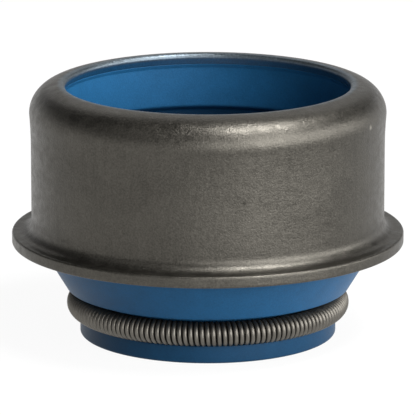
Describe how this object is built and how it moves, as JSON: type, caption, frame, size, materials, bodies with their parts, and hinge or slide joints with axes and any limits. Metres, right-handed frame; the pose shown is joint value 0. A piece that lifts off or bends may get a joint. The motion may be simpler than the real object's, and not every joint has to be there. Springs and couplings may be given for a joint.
{
  "type": "valve stem seal",
  "caption": "Round seal for an engine valve stem: flanged drawn steel case, blue rubber liner and cone, garter spring round the sealing lip.",
  "frame": {"origin": "on the seal's axis, in the end face of the sealing lip, which it stands on", "axes": "+Z along the axis from the lip end towards the open end that goes over the valve guide; the part is round about Z, so X and Y are free"},
  "size_m": [0.017, 0.017, 0.011],
  "materials": {
    "case_steel": "satin, tumbled, fine grey speckle",
    "blue_rubber": "smooth moulded, slightly satin",
    "spring_wire": "drawn wire, close wound"
  },
  "bodies": {
    "root": {"steel_case": "case_steel", "rubber_body": "blue_rubber", "garter_spring": "spring_wire"}
  },
  "joints": []
}
